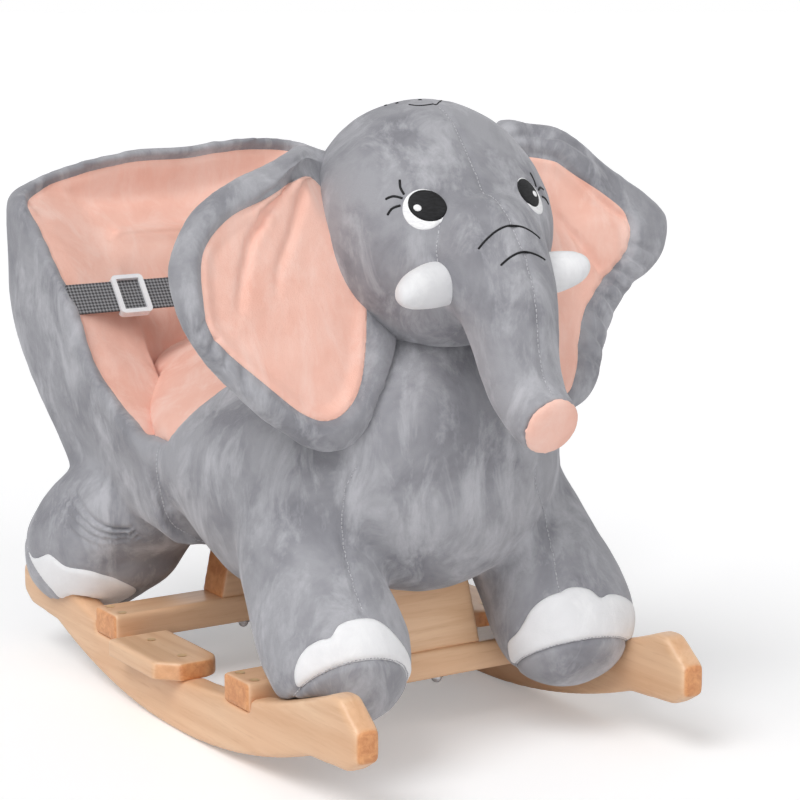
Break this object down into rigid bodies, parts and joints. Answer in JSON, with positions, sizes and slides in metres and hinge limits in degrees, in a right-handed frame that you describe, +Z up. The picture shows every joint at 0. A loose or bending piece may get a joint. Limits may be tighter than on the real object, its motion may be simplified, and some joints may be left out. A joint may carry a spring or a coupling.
{
  "type": "rocking elephant",
  "caption": "Stuffed elephant ride-on with a padded tub seat, a lap belt and a handle through the head, bolted on a wooden rocker base with footrests.",
  "frame": {"origin": "on the floor under the middle of the whole object's bounding box, level with the lowest point of the rockers' arcs", "axes": "+X forward, the way the elephant looks; +Y to the elephant's left; +Z up"},
  "size_m": [0.6406, 0.4722, 0.529],
  "materials": {
    "beech": "clear satin varnish",
    "plywood": "raw",
    "steel": "zinc plated",
    "nickel": "nickel plated",
    "grey_plush": "short pile plush",
    "pink_plush": "short pile plush",
    "white_plush": "short pile plush",
    "webbing": "woven",
    "white_plastic": "glossy",
    "dark_plastic": "satin",
    "case_plastic": "satin",
    "speaker_metal": "matt",
    "board_laminate": "satin"
  },
  "bodies": {
    "elephant": {"rocker_right": "beech", "rocker_left": "beech", "crossbar_front": "beech", "crossbar_rear": "beech", "riser_front": "beech", "riser_rear": "beech", "footrest_right": "beech", "footrest_left": "beech", "crossbar_screws": "steel", "footrest_screws": "steel", "base_bolts": "steel", "bolt_washers": "steel", "dome_nuts": "nickel", "frame_screws": "steel", "base_board": "plywood", "back_board": "plywood", "head_post": "plywood", "handle_bar": "beech", "torso": "grey_plush", "haunch": "grey_plush", "neck": "grey_plush", "head": "grey_plush", "trunk": "grey_plush", "trunk_tip": "pink_plush", "tusk_right": "white_plush", "tusk_left": "white_plush", "ear_right": "grey_plush", "ear_left": "grey_plush", "front_leg_right": "grey_plush", "front_leg_left": "grey_plush", "rear_leg_right": "grey_plush", "rear_leg_left": "grey_plush", "seat_shell_back": "grey_plush", "wing_shell_right": "grey_plush", "wing_shell_left": "grey_plush", "back_pad": "pink_plush", "wing_pad_right": "pink_plush", "wing_pad_left": "pink_plush", "saddle_cushion": "pink_plush", "belt_strap_right": "webbing", "belt_strap_left": "webbing", "buckle_socket": "dark_plastic", "sound_case": "case_plastic", "sound_cover": "case_plastic", "speaker": "speaker_metal", "circuit_board": "board_laminate", "button_cells": "steel"},
    "slider": {"belt_slider": "white_plastic"},
    "plug": {"buckle_plug": "dark_plastic"},
    "button": {"sound_button": "case_plastic"}
  },
  "joints": [
    {"name": "slider_adjust", "type": "slide", "parent": "elephant", "child": "slider", "axis": [0, 1, 0], "range_m": [-0.012, 0.035]},
    {"name": "buckle_release", "type": "slide", "parent": "elephant", "child": "plug", "axis": [0, 1, 0], "range_m": [0, 0.026]},
    {"name": "button_press", "type": "slide", "parent": "elephant", "child": "button", "axis": [-0.9781, -0.0085, -0.2079], "range_m": [0, 0.0015], "stiffness_N_per_m": 1500}
  ]
}
